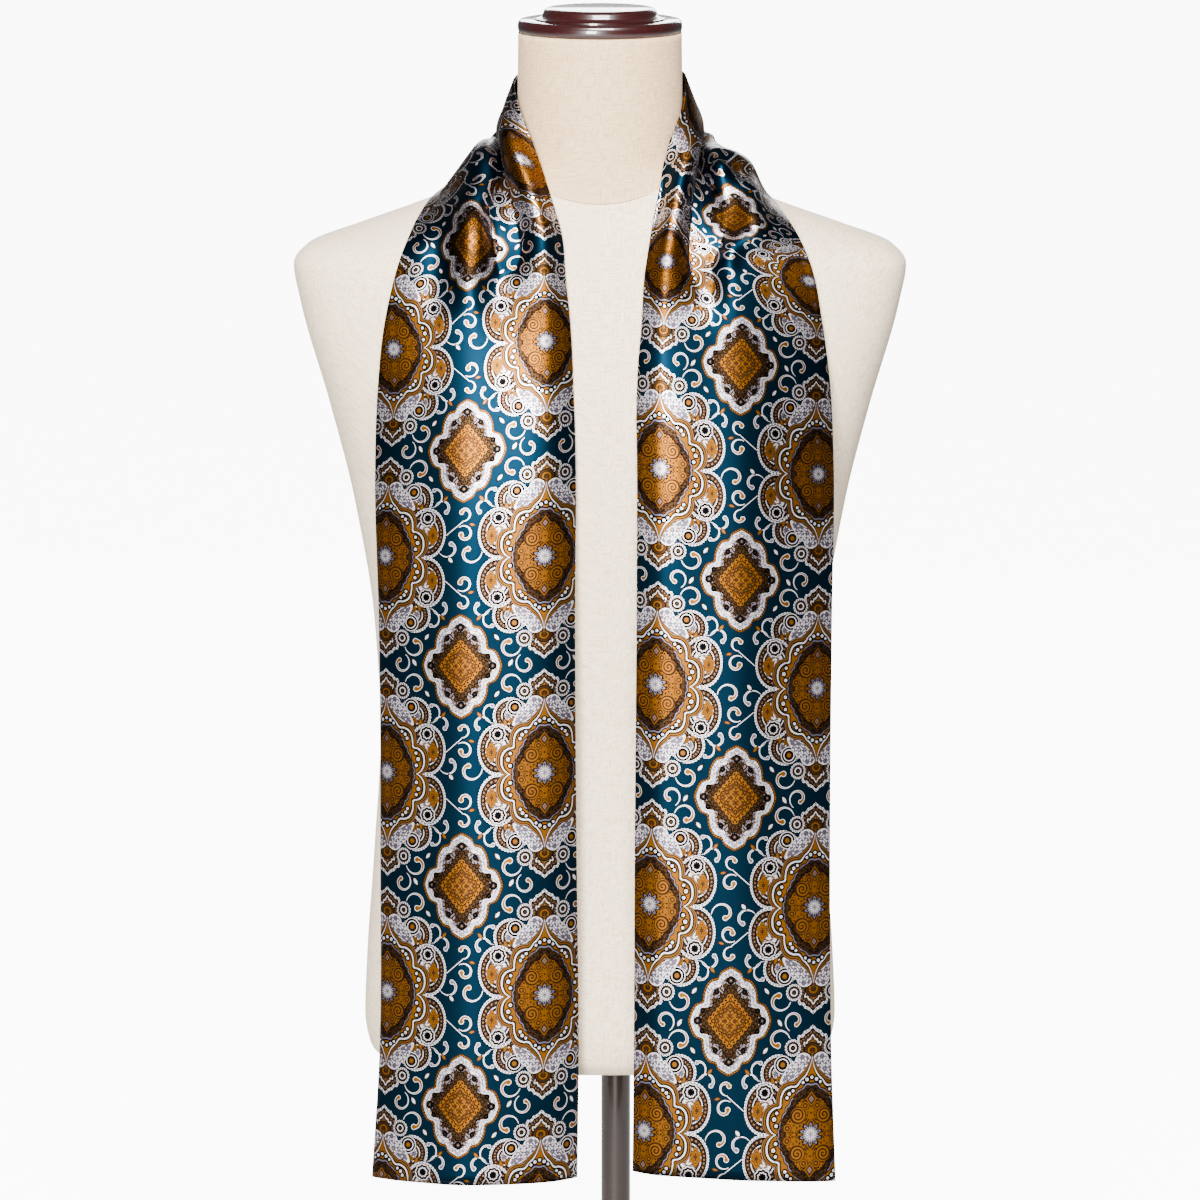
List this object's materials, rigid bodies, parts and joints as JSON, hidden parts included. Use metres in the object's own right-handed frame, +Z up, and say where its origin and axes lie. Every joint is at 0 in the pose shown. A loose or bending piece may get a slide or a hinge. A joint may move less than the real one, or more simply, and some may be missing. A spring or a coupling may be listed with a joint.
{
  "type": "silk scarf on dress form with stand",
  "caption": "Long jacquard silk scarf, folded lengthwise and hung round the neck of a linen-covered limbless dress form on a pole and round base.",
  "frame": {"origin": "centre of the bounding box on the surface that the round base stands on", "axes": "+Z up, -Y towards the front of the form where both scarf tails hang, +X to the viewer's right"},
  "size_m": [0.455, 0.3, 1.1],
  "materials": {
    "silk": "satin jacquard",
    "linen": "plain woven",
    "mahogany": "gloss lacquer",
    "dark_wood": "gloss varnish"
  },
  "bodies": {
    "root": {"scarf_neck": "silk", "scarf_left_tail": "silk", "scarf_right_tail": "silk", "dress_form_torso": "linen", "neck_cap": "mahogany", "stand_pole": "dark_wood", "stand_base": "dark_wood"}
  },
  "joints": []
}
